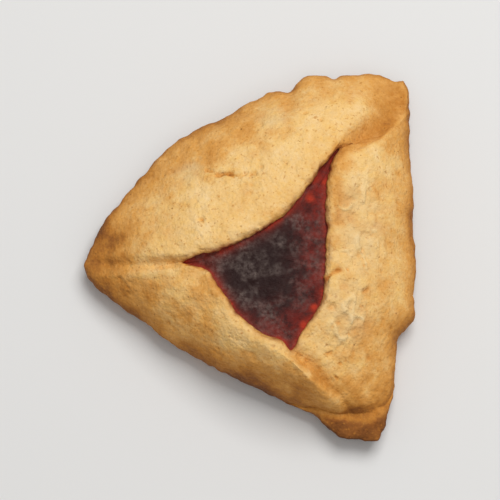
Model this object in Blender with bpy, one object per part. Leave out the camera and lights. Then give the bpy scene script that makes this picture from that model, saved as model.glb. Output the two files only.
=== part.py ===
"""A hamantasch: a three-cornered biscuit pastry with a raspberry jam centre.

A disc of butter dough is folded up on three sides round a spoonful of jam. The folds meet in three
seams that run out to pinched corners, and leave a three-pointed opening where the jam shows.
It lies on its flat underside: +Z is up, the widest fold is at the back left, the straight side is on
the right (+X), and the origin is under the middle of its box.
"""

import itertools

import bpy
import numpy as np

# Lengths are metres, and MM turns the millimetres of the tables below into metres.
MM = 0.001

# Driving dimensions of the pastry
UNDERSIDE_THICKNESS = 4.5 * MM
WIDEST_LEVEL = 5.0 * MM
UNDERCUT = 2.0 * MM
POCKET_UNDERCUT = 2.2 * MM
SHOULDER_ROUNDNESS = 1.9
DOUGH_COLOUR = (0.72, 0.47, 0.19)

# Driving dimensions of the jam
JAM_GAP = 0.3 * MM
JAM_BELOW_LIP = 0.35 * MM
JAM_BLEND = 2.0 * MM
JAM_LUMPS = (5.0 * MM, 0.4 * MM, 8)
JAM_COLOUR = (0.09, 0.02, 0.02)

# A point inside the opening that the rings of the underside, the pocket floor and the jam close on
CENTRE = np.array((-2.0, -3.0)) * MM

# The loft's stations, counter-clockwise from the back right seam, in mm: the opening's edge (x, y),
# the outline's edge (x, y), the height at the lip and at the shoulder, the lip's radius, the width of
# the low skirt outside the fold, and how plump the fold is (not in mm: 1.5 is an even slope, 2 rounds
# off evenly and 3 has a flat top)
STATIONS = np.array((
    (10.3, 18.9, 23.6, 35.8, 16.0, 10.5, 1.0, 0.0, 2.3),
    (6.2, 13.6, 11.5, 37.3, 18.6, 13.0, 1.4, 0.0, 2.4),
    (0.9, 6.1, 1.0, 34.6, 19.6, 14.5, 1.5, 0.0, 2.4),
    (-4.9, 1.9, -10.0, 29.5, 20.0, 14.5, 1.5, 0.0, 2.4),
    (-11.2, -1.4, -22.5, 23.1, 19.6, 14.0, 1.4, 0.0, 2.3),
    (-16.2, -2.6, -34.0, 10.0, 18.2, 12.0, 1.2, 0.0, 2.2),
    (-20.2, -3.9, -40.4, -1.4, 15.8, 9.0, 0.9, 0.0, 2.1),
    (-16.2, -5.0, -36.6, -8.0, 17.2, 11.0, 1.2, 0.0, 2.1),
    (-13.8, -8.0, -29.2, -13.6, 18.6, 12.5, 1.6, 0.0, 2.2),
    (-9.9, -13.6, -19.6, -20.2, 18.8, 13.0, 2.4, 0.0, 2.4),
    (-5.5, -17.6, -8.4, -26.2, 18.8, 14.0, 2.8, 0.0, 2.9),
    (-1.2, -19.4, 3.0, -31.4, 18.4, 15.0, 2.4, 0.5, 4.0),
    (0.9, -21.3, 17.2, -37.8, 16.4, 12.5, 1.0, 5.5, 3.2),
    (3.2, -17.7, 20.6, -30.8, 17.4, 11.5, 1.4, 0.8, 2.4),
    (6.7, -12.1, 22.1, -21.2, 18.2, 13.0, 1.7, 0.0, 2.4),
    (7.5, -4.5, 25.2, -8.6, 18.4, 13.5, 2.0, 0.0, 2.4),
    (7.8, 4.1, 25.6, 8.4, 18.4, 13.5, 2.1, 0.0, 2.4),
    (7.9, 12.5, 25.4, 24.6, 18.2, 13.0, 1.8, 0.0, 2.4),
))
BACK_RIGHT_SEAM, LEFT_SEAM, FRONT_SEAM = 0, 6, 12

# The seams, in mm but for the station, the share of the width in which they begin, and which fold
# lies on top (1 the one after the seam): the valley's depth and its reach at the opening and at the
# corner, the height, the rounding and the reach of the upper fold's edge, and the sideways bend.
# Last, for the fold after the seam and the one before it, the cosine of the angle at which they meet
SEAMS = (
    dict(at=BACK_RIGHT_SEAM, begins=0.30, depth=2.4, reach=2.4, corner_reach=5.0,
         edge=0.0, rounding=2.0, edge_reach=3.0, on_top=1, bend=-3.0, hip=(0.52, 0.68)),
    dict(at=LEFT_SEAM, begins=0.12, depth=0.5, reach=1.0, corner_reach=1.8,
         edge=0.6, rounding=2.0, edge_reach=3.0, on_top=-1, bend=1.0, hip=(0.62, 0.36)),
    dict(at=FRONT_SEAM, begins=0.12, depth=0.5, reach=1.2, corner_reach=2.0,
         edge=1.2, rounding=6.0, edge_reach=12.0, on_top=-1, bend=0.9, hip=(0.32, 0.93)),
)
SEAM_BEND_REACH = 0.9
HIP_ROUNDING = 1.2

# In stations: the easing of the ways that the folds run, at the opening and at the outline, and how
# far from a seam they still run straight
START_WAY_REACH = 0.8
END_WAY_REACH = 0.8
SEAM_STRAIGHTENS = 1.4

# Knobs and dents of the outline: station, reach in stations, and height in mm
OUTLINE_KNOBS = (
    (0.16, 0.16, -0.9),
    (1.16, 0.10, -0.9),
    (1.68, 0.22, 1.0),
    (2.08, 0.15, -1.4),
    (11.50, 0.25, 1.3),
    (14.30, 0.18, -0.9),
    (14.70, 0.18, 0.9),
)

# The skirt's rise above the widest level
SKIRT_RISE = 1.3 * MM

# Lumps that the dough rises into: cell size and height, and the seed of the draw
LUMPS = ((13.0 * MM, 0.55 * MM, 3), (6.0 * MM, 0.28 * MM, 5))

# Steps of the mesh: round the pastry between two stations, over the lip, over the fold, down the
# wall, in the pocket and across the flat rings
STEPS_PER_STATION = 6
LIP_STEPS = 3
FOLD_STEPS = 11
WALL_STEPS = 3
POCKET_STEPS = 3
FLAT_STEPS = 3
JAM_TOP_STEPS = 6


def smooth_step(value, low, high):
    """0 below low, 1 above high, and an S between."""
    f = np.clip((value - low) / (high - low), 0, 1)
    return f * f * (3 - 2 * f)


def soft_noise(points, cell, seed):
    """Value noise: random numbers on a cubic lattice of that cell size, blended smoothly between."""
    table = np.random.default_rng(seed).uniform(-1, 1, (16, 16, 16))
    place = points / cell
    corner = np.floor(place).astype(int)
    f = place - corner
    f = f * f * (3 - 2 * f)
    total = np.zeros(points.shape[:-1])
    for step in itertools.product((0, 1), repeat=3):
        weight = np.prod(np.where(step, f, 1 - f), axis=-1)
        i, j, k = np.moveaxis((corner + step) % 16, -1, 0)
        total += weight * table[i, j, k]
    return total


def spline(values, at):
    """Catmull-Rom curve through a closed row of values, read at station numbers that may be fractions."""
    count = len(values)
    first = np.floor(at).astype(int)
    f = (at - first).reshape((-1,) + (1,) * (values.ndim - 1))
    before, start, end, after = (values[(first + step) % count] for step in (-1, 0, 1, 2))
    return 0.5 * (
        2 * start
        + (end - before) * f
        + (2 * before - 5 * start + 4 * end - after) * f**2
        + (3 * start - before - 3 * end + after) * f**3
    )


def stations_from(seam, at):
    """Station numbers counted from a seam, negative before it and positive after it."""
    return (at - seam + len(STATIONS) / 2) % len(STATIONS) - len(STATIONS) / 2


def unit(directions):
    """The same directions with length 1."""
    return directions / np.linalg.norm(directions, axis=1, keepdims=True)


def outward(curve):
    """Unit normals, pointing outwards, of a closed counter-clockwise curve given as points."""
    along = np.roll(curve, -1, axis=0) - np.roll(curve, 1, axis=0)
    return unit(np.stack((along[:, 1], -along[:, 0]), axis=1))


def eased(directions, reach):
    """Unit directions round a closed curve, averaged over the neighbours by a bell of that reach."""
    count = len(directions)
    steps = np.minimum(np.arange(count), count - np.arange(count))
    bell = np.fft.fft(np.exp(-0.5 * (steps / reach) ** 2))
    return unit(np.fft.ifft(np.fft.fft(directions, axis=0) * bell[:, None], axis=0).real)


class Loft:
    """The surfaces of the pastry as functions of the way round and of the share of the fold's width."""

    def __init__(self, steps):
        self.even = np.arange(len(STATIONS) * steps) / steps
        self.opening = spline(STATIONS[:, 0:2] * MM, self.crowded())
        self.opening_normal = outward(self.opening)
        self.outline = spline(STATIONS[:, 2:4] * MM, self.even)
        self.outline_normal = outward(self.outline)
        self.knob = sum(
            height * MM * np.exp(-(((self.even - at) / reach) ** 2)) for at, reach, height in OUTLINE_KNOBS
        )
        measures = spline(STATIONS[:, 4:8] * MM, self.even)
        self.lip_height, self.shoulder_height, self.lip_radius, self.skirt = measures.T
        self.plumpness = spline(STATIONS[:, 8], self.even)
        self.width = np.linalg.norm(self.outline - self.opening, axis=1)
        self.start_way = self.way(self.opening_normal, START_WAY_REACH * steps)
        self.end_way = self.way(self.outline_normal, END_WAY_REACH * steps)
        self.bend = self.seam_bend()

    def away(self, seam):
        """Station numbers counted from a seam."""
        return stations_from(seam["at"], self.even)

    def tip(self, seam):
        """The place of a seam's own line in the way round."""
        return int(np.argmin(np.abs(self.away(seam))))

    def crowded(self):
        """Station numbers for the opening, which crowd towards each seam's tip as a square.

        So the lip turns round the narrow tip in small steps.
        """
        numbers = self.even.copy()
        for seam in SEAMS:
            away = self.away(seam)
            numbers = np.where(np.abs(away) < 1, seam["at"] + np.sign(away) * away**2, numbers)
        return numbers

    def way(self, normal, reach):
        """Ways that the folds run: along the eased normals, and straight across near the seams."""
        straight = sum(np.exp(-((self.away(seam) / SEAM_STRAIGHTENS) ** 2)) for seam in SEAMS)[:, None]
        direct = unit(self.outline - self.opening)
        return unit(direct * straight + eased(normal, reach) * (1 - straight))

    def seam_bend(self):
        """How far each way from opening to outline is pushed sideways: a bell about each seam."""
        bends = np.zeros((len(self.even), 2))
        for seam in SEAMS:
            run = self.outline[self.tip(seam)] - self.opening[self.tip(seam)]
            sideways = np.array((-run[1], run[0])) / np.linalg.norm(run)
            bell = np.exp(-((self.away(seam) / SEAM_BEND_REACH) ** 2))
            bends += seam["bend"] * MM * bell[:, None] * sideways
        return bends

    def plan(self, share):
        """Points in plan at a share of the way from opening to outline: a cubic Hermite curve.

        It leaves the opening and arrives at the outline along their ways. The outline's knobs
        push its outer part outwards, by the sixth power of the share, and the seams bend sideways
        as a parabola of the share.
        """
        t = share[..., None]
        reach = self.width[:, None]
        return (
            (2 * t**3 - 3 * t**2 + 1) * self.opening
            + (t**3 - 2 * t**2 + t) * self.start_way * reach
            + (3 * t**2 - 2 * t**3) * self.outline
            + (t**3 - t**2) * self.end_way * reach
            + t**6 * self.knob[:, None] * self.outline_normal
            + 4 * t * (1 - t) * self.bend
        )

    def from_seam(self, seam, plan):
        """Distance in mm, in plan, from a seam's own line at the same share of the width."""
        tip = self.tip(seam)
        return np.linalg.norm(plan - plan[:, tip : tip + 1], axis=-1) / MM

    def seam_fade(self, seam, share):
        """1 along a seam, and 0 at the opening, at the outline and some stations away from it."""
        near = 1 - smooth_step(np.abs(self.away(seam)), 1.5, 2.5)
        return near * smooth_step(share, 0, seam["begins"]) * (1 - smooth_step(share, 0.75, 1))

    def seam_relief(self, share, plan):
        """Height that the seams add: a bell-shaped valley, and the rolled edge of the fold on top.

        Both are functions of the distance from the seam. The edge rises as an S, and fades out as
        a bell.
        """
        relief = np.zeros(share.shape)
        for seam in SEAMS:
            lateral = self.from_seam(seam, plan)
            width = seam["reach"] + (seam["corner_reach"] - seam["reach"]) * share
            valley = -seam["depth"] * np.exp(-((lateral / width) ** 2))
            roll = smooth_step(lateral, 0, seam["rounding"]) * np.exp(-((lateral / seam["edge_reach"]) ** 2))
            roll *= seam["edge"] * (self.away(seam) * seam["on_top"] > 0)
            relief += (valley + roll) * self.seam_fade(seam, share) * MM
        return relief

    def hip_easing(self, share, plan):
        """Shares of the width by which the shoulder comes nearer along a seam.

        Two folds that meet at an angle would meet in a sharp hip. The shares fall off as a
        hyperbola of the distance from the seam, and start with the slope that takes the hip away.
        """
        easing = np.zeros(share.shape)
        for seam in SEAMS:
            cosine = np.where(self.away(seam) > 0, *seam["hip"]) * (1 - share)
            run = cosine * self.from_seam(seam, plan)
            easing += (np.sqrt(run**2 + HIP_ROUNDING**2) - run) * self.seam_fade(seam, share)
        return easing * MM / self.width

    def top(self, share):
        """Points of the folds' upper surface: a superellipse from the lip to the widest level.

        The height falls from the lip's to the shoulder's, then round the shoulder to the wall,
        and near the opening a quarter circle rounds the lip. Where there is a skirt, the
        superellipse ends at it, and the skirt is a quarter ellipse from there to the outline.
        """
        share = np.broadcast_to(share, (len(share), len(self.even)))
        plan = self.plan(share)
        skirt_share = np.clip(self.skirt, 0, None) / self.width + 1e-6
        top_share = np.clip((share + self.hip_easing(share, plan)) / (1 - skirt_share), 0, 1)
        sheet = self.lip_height + (self.shoulder_height - self.lip_height) * top_share**1.5
        rounding = (1 - top_share**self.plumpness) ** (1 / SHOULDER_ROUNDNESS)
        height = WIDEST_LEVEL + (sheet - WIDEST_LEVEL) * rounding + self.seam_relief(share, plan)
        over_skirt = np.clip((share - 1 + skirt_share) / skirt_share, 0, 1)
        rise = SKIRT_RISE * smooth_step(self.skirt, 0, 2 * MM) * np.sqrt(1 - over_skirt**2)
        height = np.maximum(height, WIDEST_LEVEL + rise)
        inside = np.clip(1 - share * self.width / self.lip_radius, 0, 1)
        height -= self.lip_radius * (1 - np.sqrt(1 - inside**2))
        return np.concatenate((plan, height[..., None]), axis=-1)

    def fold_rows(self, lip_steps, fold_steps):
        """Rows over the lip, evenly round its quarter circle, then over the fold, closer at the wall."""
        lip_share = self.lip_radius / self.width
        turn = np.linspace(0, np.pi / 2, lip_steps + 1)[:, None]
        over_lip = lip_share * (1 - np.cos(turn))
        turn = np.linspace(0, np.pi / 2, fold_steps + 1)[1:, None]
        over_fold = lip_share + (1 - lip_share) * np.sin(turn)
        return self.top(np.concatenate((over_lip, over_fold)))

    def wall_rows(self, steps):
        """Rows from the widest level down to the underside, tucked in on a quarter ellipse."""
        turn = np.linspace(0, np.pi / 2, steps + 1)[1:, None, None]
        plan = self.outline + self.outline_normal * (self.knob[:, None] - UNDERCUT * (1 - np.cos(turn)))
        height = np.broadcast_to(WIDEST_LEVEL * (1 - np.sin(turn)), plan.shape[:2] + (1,))
        return np.concatenate((plan, height), axis=-1)

    def lip_edge(self):
        """Height of the lip's inner edge all round."""
        return self.top(np.zeros((1, 1)))[0, :, 2]

    def pocket_wall(self, depth, inset):
        """Points of the pocket's wall at a share of its depth, moved in by inset.

        The wall leans out under the folds as a parabola, from the lip's edge to the floor.
        """
        lip_edge = self.lip_edge()
        lean = POCKET_UNDERCUT * (1 - (1 - depth) ** 2) - inset
        plan = self.opening + self.opening_normal * lean[..., None]
        height = lip_edge + (UNDERSIDE_THICKNESS - lip_edge) * depth
        return np.concatenate((plan, np.broadcast_to(height, plan.shape[:2])[..., None]), axis=-1)

    def raise_lumps(self, rows):
        """Rows of the fold, moved along their normals by the dough's lumps, less near the lip."""
        across = np.gradient(rows, axis=0)
        around = np.roll(rows, -1, axis=1) - np.roll(rows, 1, axis=1)
        normal = np.cross(across, around)
        normal /= np.linalg.norm(normal, axis=-1, keepdims=True) + 1e-12
        height = sum(size * soft_noise(rows, cell, seed) for cell, size, seed in LUMPS)
        from_lip = np.linalg.norm(rows[..., :2] - self.opening, axis=-1)
        height *= smooth_step(from_lip, 0, 3 * MM) * smooth_step(rows[..., 2], 0, WIDEST_LEVEL)
        return rows + normal * height[..., None]


def closing_rings(ring, centre, steps):
    """Rings between one ring and a centre point, straight towards it, without either."""
    share = np.linspace(0, 1, steps + 1)[1:-1, None, None]
    return ring + (centre - ring) * share


def solid(name, rings, first_centre, last_centre, place, colour, roughness):
    """A closed solid from a stack of rings, each end closed by a fan of triangles to its centre.

    The rings run counter-clockwise seen from the last centre, so the faces point outwards.
    """
    count = rings.shape[1]
    points = np.concatenate((rings.reshape(-1, 3), [first_centre, last_centre]))
    here = list(range(count))
    onward = here[1:] + here[:1]
    first_fan, last_fan = len(points) - 2, len(points) - 1
    last_row = (len(rings) - 1) * count
    faces = [(first_fan, b, a) for a, b in zip(here, onward)]
    for row in range(0, last_row, count):
        above = row + count
        faces += [(row + a, row + b, above + b, above + a) for a, b in zip(here, onward)]
    faces += [(last_fan, last_row + a, last_row + b) for a, b in zip(here, onward)]

    mesh = bpy.data.meshes.new(name)
    mesh.from_pydata(points.tolist(), [], faces)
    mesh.shade_smooth()
    mesh.materials.append(baked(name, colour, roughness))
    piece = bpy.data.objects.new(name, mesh)
    piece.location = place
    bpy.context.scene.collection.objects.link(piece)


def baked(name, colour, roughness):
    """A plain material of that colour."""
    material = bpy.data.materials.new(name)
    material.use_nodes = True
    shader = material.node_tree.nodes["Principled BSDF"]
    shader.inputs["Base Color"].default_value = (*colour, 1)
    shader.inputs["Roughness"].default_value = roughness
    shader.inputs["Metallic"].default_value = 0
    return material


def above_centre(height):
    """The centre point at that height."""
    return np.array((*CENTRE, height))


def pastry_rings(loft):
    """Rings of the pastry from its underside, up the wall, over the folds and down into the pocket."""
    shell = np.concatenate((loft.fold_rows(LIP_STEPS, FOLD_STEPS), loft.wall_rows(WALL_STEPS)))
    shell = loft.raise_lumps(shell)[::-1]
    under_centre = above_centre(0)
    underside = closing_rings(shell[0], under_centre, FLAT_STEPS)[::-1]
    depth = np.linspace(0, 1, POCKET_STEPS + 1)[1:, None]
    pocket = loft.pocket_wall(depth, 0)
    floor_centre = above_centre(UNDERSIDE_THICKNESS)
    floor = closing_rings(pocket[-1], floor_centre, FLAT_STEPS)
    return np.concatenate((underside, shell, pocket, floor)), under_centre, floor_centre


def jam_level(loft, points):
    """Height of the jam at points in plan: the lip's level all round, blended smoothly between.

    Each point takes the mean of the lip's edge heights, weighted by the inverse cube of its
    distance, softened near the edge.
    """
    edge = loft.lip_edge() - JAM_BELOW_LIP
    away = np.linalg.norm(points[..., None, :] - loft.opening, axis=-1)
    weight = (away**2 + JAM_BLEND**2) ** -1.5
    return (weight * edge).sum(axis=-1) / weight.sum(axis=-1)


def jam_rings(loft):
    """Rings of the jam from its underside, up the pocket's wall, and over its lumpy top."""
    lip_edge = loft.lip_edge()
    level = np.minimum(jam_level(loft, loft.opening), lip_edge - JAM_GAP)
    fill_share = (lip_edge - level) / (lip_edge - UNDERSIDE_THICKNESS)
    depth = np.linspace(1, 0, POCKET_STEPS + 1)[:, None]
    wall = loft.pocket_wall(fill_share + (1 - fill_share) * depth, JAM_GAP)
    base = UNDERSIDE_THICKNESS + JAM_GAP
    wall[..., 2] = np.maximum(wall[..., 2], base)
    base_centre = above_centre(base)
    under = closing_rings(wall[0], base_centre, FLAT_STEPS)[::-1]
    top = closing_rings(wall[-1], above_centre(0), JAM_TOP_STEPS)
    share = np.linspace(0, 1, JAM_TOP_STEPS + 1)[1:-1, None]
    blend = smooth_step(share, 0, 0.3)
    top[..., 2] = level + (jam_level(loft, top[..., :2]) - level) * blend
    cell, size, seed = JAM_LUMPS
    top[..., 2] += size * soft_noise(top, cell, seed) * blend
    peak = above_centre(jam_level(loft, CENTRE[None])[0])
    return np.concatenate((under, wall, top)), base_centre, peak


def main():
    for old in list(bpy.data.objects):
        bpy.data.objects.remove(old)
    loft = Loft(STEPS_PER_STATION)
    pastry, under_centre, floor_centre = pastry_rings(loft)
    jam, base_centre, top_centre = jam_rings(loft)
    plan = pastry[..., :2].reshape(-1, 2)
    place = (*-(plan.min(axis=0) + plan.max(axis=0)) / 2, 0)
    solid("pastry", pastry, under_centre, floor_centre, place, DOUGH_COLOUR, 0.75)
    solid("raspberry_jam", jam, base_centre, top_centre, place, JAM_COLOUR, 0.35)


main()
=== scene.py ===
import itertools

import bpy
import numpy as np
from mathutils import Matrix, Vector


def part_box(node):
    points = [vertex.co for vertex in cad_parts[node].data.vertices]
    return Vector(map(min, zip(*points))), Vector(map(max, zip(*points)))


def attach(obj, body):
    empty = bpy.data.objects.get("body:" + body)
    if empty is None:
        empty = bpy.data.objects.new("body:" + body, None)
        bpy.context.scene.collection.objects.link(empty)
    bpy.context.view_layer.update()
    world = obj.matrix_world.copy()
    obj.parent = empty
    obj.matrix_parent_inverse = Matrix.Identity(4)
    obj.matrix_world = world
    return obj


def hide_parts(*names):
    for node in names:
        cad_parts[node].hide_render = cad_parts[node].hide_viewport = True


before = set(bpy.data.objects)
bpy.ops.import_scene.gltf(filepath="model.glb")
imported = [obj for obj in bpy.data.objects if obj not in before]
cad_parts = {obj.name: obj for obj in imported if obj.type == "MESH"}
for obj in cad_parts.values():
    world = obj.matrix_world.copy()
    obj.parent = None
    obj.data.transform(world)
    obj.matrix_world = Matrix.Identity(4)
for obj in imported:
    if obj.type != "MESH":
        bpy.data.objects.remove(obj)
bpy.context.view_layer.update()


# The folded dough
# A hamantasch is a disc of butter biscuit dough, folded up on three sides round a spoonful of jam and
# pinched at three corners. The shape below is the one that the frame's solid has, read more finely.

MM = 0.001

UNDERSIDE_THICKNESS = 4.5 * MM
WIDEST_LEVEL = 5.0 * MM
UNDERCUT = 2.0 * MM
POCKET_UNDERCUT = 2.2 * MM
SHOULDER_ROUNDNESS = 1.9
CENTRE = np.array((-2.0, -3.0)) * MM

# Stations round the pastry, counter-clockwise from the back right seam, in mm: the opening's edge
# (x, y), the outline's edge (x, y), the height at the lip and at the shoulder, the lip's radius, the
# width of the low skirt outside the fold, and how plump the fold is (not in mm: 1.5 is an even
# slope, 2 rounds off evenly and 3 has a flat top)
STATIONS = np.array((
    (10.3, 18.9, 23.6, 35.8, 16.0, 10.5, 1.0, 0.0, 2.3),
    (6.2, 13.6, 11.5, 37.3, 18.6, 13.0, 1.4, 0.0, 2.4),
    (0.9, 6.1, 1.0, 34.6, 19.6, 14.5, 1.5, 0.0, 2.4),
    (-4.9, 1.9, -10.0, 29.5, 20.0, 14.5, 1.5, 0.0, 2.4),
    (-11.2, -1.4, -22.5, 23.1, 19.6, 14.0, 1.4, 0.0, 2.3),
    (-16.2, -2.6, -34.0, 10.0, 18.2, 12.0, 1.2, 0.0, 2.2),
    (-20.2, -3.9, -40.4, -1.4, 15.8, 9.0, 0.9, 0.0, 2.1),
    (-16.2, -5.0, -36.6, -8.0, 17.2, 11.0, 1.2, 0.0, 2.1),
    (-13.8, -8.0, -29.2, -13.6, 18.6, 12.5, 1.6, 0.0, 2.2),
    (-9.9, -13.6, -19.6, -20.2, 18.8, 13.0, 2.4, 0.0, 2.4),
    (-5.5, -17.6, -8.4, -26.2, 18.8, 14.0, 2.8, 0.0, 2.9),
    (-1.2, -19.4, 3.0, -31.4, 18.4, 15.0, 2.4, 0.5, 4.0),
    (0.9, -21.3, 17.2, -37.8, 16.4, 12.5, 1.0, 5.5, 3.2),
    (3.2, -17.7, 20.6, -30.8, 17.4, 11.5, 1.4, 0.8, 2.4),
    (6.7, -12.1, 22.1, -21.2, 18.2, 13.0, 1.7, 0.0, 2.4),
    (7.5, -4.5, 25.2, -8.6, 18.4, 13.5, 2.0, 0.0, 2.4),
    (7.8, 4.1, 25.6, 8.4, 18.4, 13.5, 2.1, 0.0, 2.4),
    (7.9, 12.5, 25.4, 24.6, 18.2, 13.0, 1.8, 0.0, 2.4),
))
BACK_RIGHT_SEAM, LEFT_SEAM, FRONT_SEAM = 0, 6, 12

# The seams, in mm but for the station, the share of the width in which they begin, and which fold
# lies on top (1 the one after the seam): the valley's depth and its reach at the opening and at the
# corner, the height, the rounding and the reach of the upper fold's edge, and the sideways bend.
# Last, for the fold after the seam and the one before it, the cosine of the angle at which they meet
SEAMS = (
    dict(at=BACK_RIGHT_SEAM, begins=0.30, depth=2.4, reach=2.4, corner_reach=5.0,
         edge=0.0, rounding=2.0, edge_reach=3.0, on_top=1, bend=-3.0, hip=(0.52, 0.68)),
    dict(at=LEFT_SEAM, begins=0.12, depth=0.5, reach=1.0, corner_reach=1.8,
         edge=0.6, rounding=2.0, edge_reach=3.0, on_top=-1, bend=1.0, hip=(0.62, 0.36)),
    dict(at=FRONT_SEAM, begins=0.12, depth=0.5, reach=1.2, corner_reach=2.0,
         edge=1.2, rounding=6.0, edge_reach=12.0, on_top=-1, bend=0.9, hip=(0.32, 0.93)),
)
SEAM_BEND_REACH = 0.9
HIP_ROUNDING = 1.2

# Where a seam's relief fades out sideways, in stations, and the shares of the width where it ends
SEAM_FADES = (1.5, 2.5)
SEAM_ENDS = (0.75, 1.0)

# Knobs and dents of the outline: station, reach in stations, and height in mm
OUTLINE_KNOBS = (
    (0.16, 0.16, -0.9),
    (1.16, 0.10, -0.9),
    (1.68, 0.22, 1.0),
    (2.08, 0.15, -1.4),
    (11.50, 0.25, 1.3),
    (14.30, 0.18, -0.9),
    (14.70, 0.18, 0.9),
)

# In stations: the easing of the ways that the folds run, at the opening and at the outline, and how
# far from a seam they still run straight
START_WAY_REACH = 0.8
END_WAY_REACH = 0.8
SEAM_STRAIGHTENS = 1.4

# The power by which a fold's sheet falls from the lip to the shoulder
SHEET_FALL = 1.5

# Lumps of the risen dough: cell size, height and seed, and how far from the lip they are full
LUMPS = ((13.0 * MM, 0.55 * MM, 3), (6.0 * MM, 0.28 * MM, 5))
LUMPS_FULL = 3 * MM

# The skirt's rise above the widest level, and the width of skirt that has it in full
SKIRT_RISE = 1.3 * MM
SKIRT_FULL = 2 * MM

# How the opening's torn edge wanders: cell size, reach and seed. It is calm near the tips, and
# partly so on the front fold's lip: reaches in stations, and the share that is taken off there
OPENING_WANDER = ((2.4 * MM, 0.28 * MM, 9), (0.9 * MM, 0.14 * MM, 10))
CALM_TIP_REACH = 0.5
CALM_LIP_REACH = 1.4
CALM_LIP = 0.6

# How the crumbly outline wanders, how far that lies inside the solid's outline, and how much more of
# both a skirt has, between the widths at which that starts and is full
OUTLINE_WANDER = ((3.0 * MM, 0.26 * MM, 14), (1.2 * MM, 0.16 * MM, 15))
OUTLINE_INSET = 0.22 * MM
SKIRT_CRUMBLE = 1.6
SKIRT_CRUMBLES = (1 * MM, 4 * MM)

# Steps round the pastry between two stations, rows over each stretch, and the finer steps in which
# the folds' profiles are measured
STEPS_PER_STATION = 36
PROFILE_STEPS = 500
UNDERSIDE_ROWS, WALL_ROWS, FOLD_ROWS, LIP_ROWS, POCKET_ROWS, FLOOR_ROWS = 7, 18, 100, 14, 5, 3


def smooth_step(value, low, high):
    """0 below low, 1 above high, and an S of the third degree between."""
    f = np.clip((value - low) / (high - low), 0, 1)
    return f * f * (3 - 2 * f)


def soft_noise(points, cell, seed):
    """Value noise: random numbers on a cubic lattice of that cell size, blended smoothly between."""
    table = np.random.default_rng(seed).uniform(-1, 1, (16, 16, 16))
    place = points / cell
    corner = np.floor(place).astype(int)
    f = place - corner
    f = f * f * (3 - 2 * f)
    total = np.zeros(points.shape[:-1])
    for step in itertools.product((0, 1), repeat=3):
        weight = np.prod(np.where(step, f, 1 - f), axis=-1)
        i, j, k = np.moveaxis((corner + step) % 16, -1, 0)
        total += weight * table[i, j, k]
    return total


def layered_noise(points, layers):
    """The sum of soft noises, each given as its cell size, its height and its seed."""
    return sum(height * soft_noise(points, cell, seed) for cell, height, seed in layers)


def spline(values, at):
    """Catmull-Rom curve through a closed row of values, read at station numbers that may be fractions."""
    count = len(values)
    first = np.floor(at).astype(int)
    f = (at - first).reshape((-1,) + (1,) * (values.ndim - 1))
    before, start, end, after = (values[(first + step) % count] for step in (-1, 0, 1, 2))
    return 0.5 * (
        2 * start
        + (end - before) * f
        + (2 * before - 5 * start + 4 * end - after) * f**2
        + (3 * start - before - 3 * end + after) * f**3
    )


def stations_from(seam, at):
    """Station numbers counted from a seam, negative before it and positive after it."""
    return (at - seam + len(STATIONS) / 2) % len(STATIONS) - len(STATIONS) / 2


def unit(directions):
    """The same directions with length 1."""
    return directions / np.linalg.norm(directions, axis=1, keepdims=True)


def outward(curve):
    """Unit normals, pointing outwards, of a closed counter-clockwise curve given as points."""
    along = np.roll(curve, -1, axis=0) - np.roll(curve, 1, axis=0)
    return unit(np.stack((along[:, 1], -along[:, 0]), axis=1))


def eased(directions, reach):
    """Unit directions round a closed curve, averaged over the neighbours by a bell of that reach."""
    count = len(directions)
    steps = np.minimum(np.arange(count), count - np.arange(count))
    bell = np.fft.fft(np.exp(-0.5 * (steps / reach) ** 2))
    return unit(np.fft.ifft(np.fft.fft(directions, axis=0) * bell[:, None], axis=0).real)


def wander(curve, layers):
    """How far a curve in plan wanders sideways: the layered noise at its points."""
    return layered_noise(np.column_stack((curve, np.zeros(len(curve)))), layers)


# The way round: even station numbers for the outline, and for the opening numbers that crowd
# towards each seam's tip as a square, so that the lip turns round the narrow tip in small steps
way = np.arange(len(STATIONS) * STEPS_PER_STATION) / STEPS_PER_STATION
crowded_way = way.copy()
for seam in SEAMS:
    away = stations_from(seam["at"], way)
    crowded_way = np.where(np.abs(away) < 1, seam["at"] + np.sign(away) * away**2, crowded_way)

opening = spline(STATIONS[:, 0:2] * MM, crowded_way)
opening_out = outward(opening)
calm = sum(np.exp(-((stations_from(seam["at"], way) / CALM_TIP_REACH) ** 2)) for seam in SEAMS)
calm_lip = CALM_LIP * np.exp(-((stations_from(FRONT_SEAM - 1, way) / CALM_LIP_REACH) ** 2))
torn_edge = wander(opening, OPENING_WANDER) * (1 - calm) * (1 - calm_lip)
opening = opening + opening_out * torn_edge[:, None]

outline = spline(STATIONS[:, 2:4] * MM, way)
outline_out = outward(outline)
lip_height, shoulder_height, lip_radius, skirt = spline(STATIONS[:, 4:8] * MM, way).T
plumpness = spline(STATIONS[:, 8], way)
knobs = sum(height * MM * np.exp(-(((way - at) / reach) ** 2)) for at, reach, height in OUTLINE_KNOBS)
crumble = 1 + SKIRT_CRUMBLE * smooth_step(skirt, *SKIRT_CRUMBLES)
knobs += (wander(outline, OUTLINE_WANDER) - OUTLINE_INSET) * crumble
fold_width = np.linalg.norm(outline - opening, axis=1)

# A hair more than the skirt's width, so that a fold without one can be divided by it
skirt_share = np.clip(skirt, 0, None) / fold_width + 1e-6

seam_bend = np.zeros((len(way), 2))
for seam in SEAMS:
    away = stations_from(seam["at"], way)
    tip = int(np.argmin(np.abs(away)))
    run = outline[tip] - opening[tip]
    sideways = np.array((-run[1], run[0])) / np.linalg.norm(run)
    seam_bend += seam["bend"] * MM * np.exp(-((away / SEAM_BEND_REACH) ** 2))[:, None] * sideways

direct = unit(outline - opening)
straight = sum(np.exp(-((stations_from(seam["at"], way) / SEAM_STRAIGHTENS) ** 2)) for seam in SEAMS)
straight = straight[:, None]


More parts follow.
